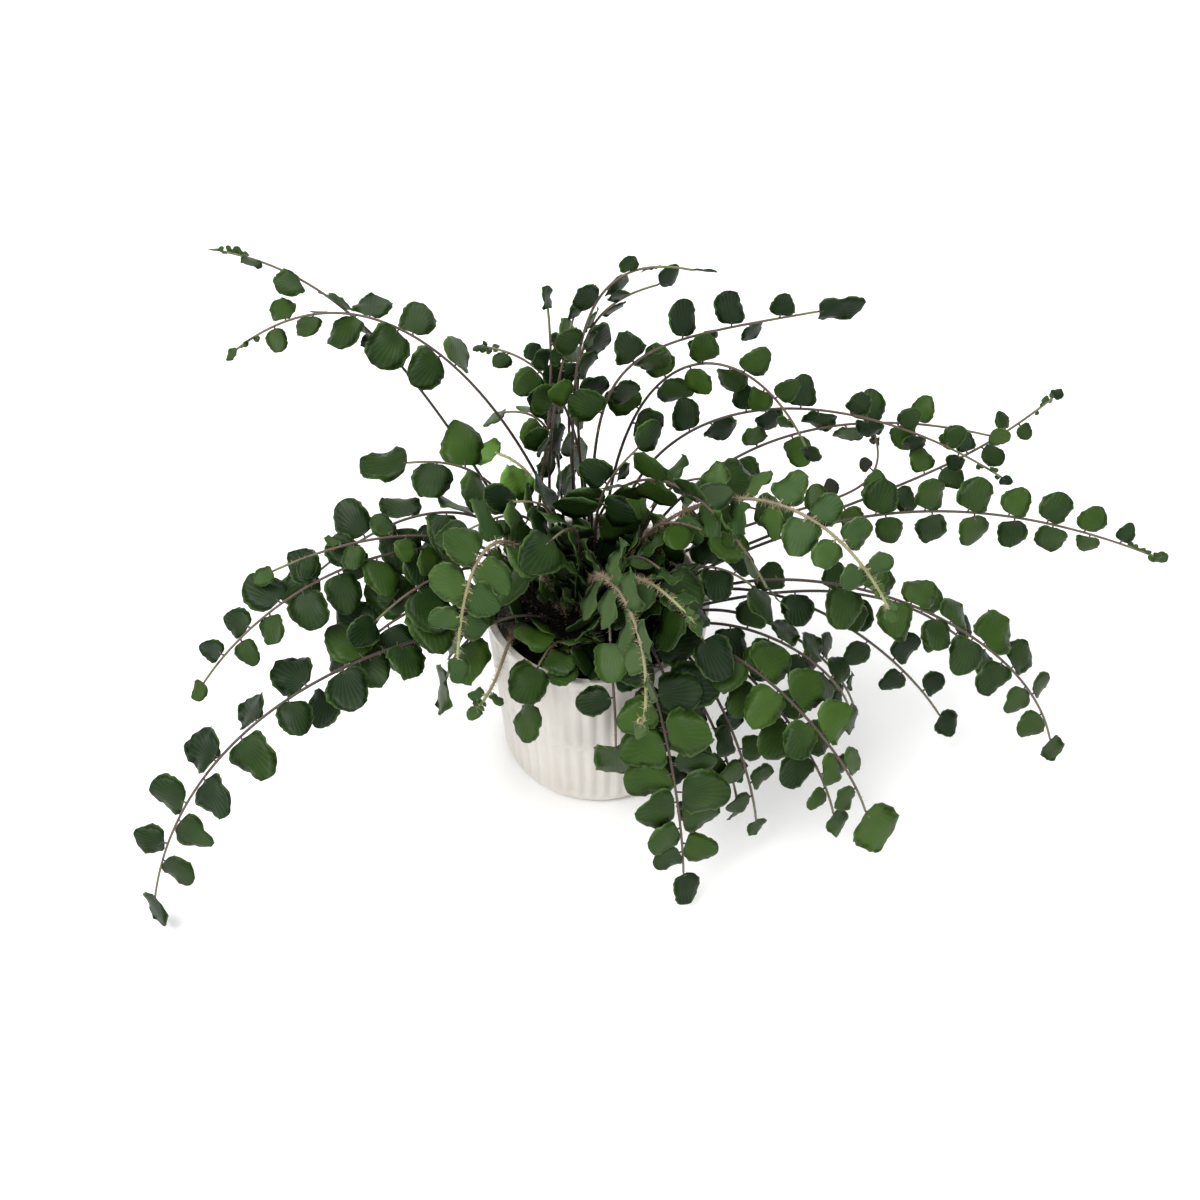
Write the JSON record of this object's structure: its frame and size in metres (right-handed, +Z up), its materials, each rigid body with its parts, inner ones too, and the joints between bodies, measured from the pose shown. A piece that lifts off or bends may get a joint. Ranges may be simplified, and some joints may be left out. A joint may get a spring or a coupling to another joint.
{
  "type": "potted cliff brake fern",
  "caption": "House plant: a round ribbed planter filled with soil, with arching wiry fronds of small round leaflets spreading over its rim.",
  "frame": {"origin": "middle of the pot's flat underside, on the pot's axis", "axes": "+Z up along the pot's axis; -Y faces the picture's camera; +X to the right as seen there, along the plant's widest spread"},
  "size_m": [0.544, 0.2813, 0.2961],
  "materials": {
    "pot": "warm white satin glaze",
    "soil": "dark crumbly potting mix",
    "frond": "dark green, faintly satin leaflets on dark brown wiry stems",
    "young_frond": "lighter green leaflets on hairy straw-green stems"
  },
  "bodies": {
    "root": {"pot": "pot", "soil": "soil", "frond_left_01": "frond", "frond_left_02": "frond", "frond_left_03": "frond", "frond_left_04": "frond", "frond_left_05": "frond", "frond_left_06": "frond", "frond_left_07": "frond", "frond_left_08": "frond", "frond_left_09": "frond", "frond_left_10": "young_frond", "frond_left_11": "young_frond", "frond_left_12": "frond", "frond_up_01": "frond", "frond_up_02": "frond", "frond_up_03": "frond", "frond_up_04": "frond", "frond_up_05": "frond", "frond_up_06": "frond", "frond_up_07": "frond", "frond_up_08": "young_frond", "frond_right_01": "frond", "frond_right_02": "frond", "frond_right_03": "frond", "frond_right_04": "frond", "frond_right_05": "frond", "frond_right_06": "frond", "frond_right_07": "frond", "frond_right_08": "frond", "frond_right_09": "frond", "frond_right_10": "young_frond", "frond_right_11": "frond", "frond_right_12": "frond", "frond_right_13": "frond", "frond_right_14": "frond", "frond_front_01": "frond", "frond_front_02": "frond", "frond_front_03": "frond", "frond_front_04": "frond", "frond_front_05": "frond", "frond_front_06": "frond", "frond_front_07": "frond", "frond_front_08": "young_frond", "frond_front_09": "young_frond", "frond_front_10": "frond", "frond_front_11": "frond", "frond_crown_01": "frond", "frond_crown_02": "frond", "frond_crown_03": "frond", "frond_crown_04": "frond", "frond_crown_05": "frond", "frond_crown_06": "frond", "frond_crown_07": "frond", "frond_crown_08": "frond", "frond_crown_09": "frond", "frond_crown_10": "frond", "frond_crown_11": "frond", "frond_crown_12": "frond"}
  },
  "joints": []
}
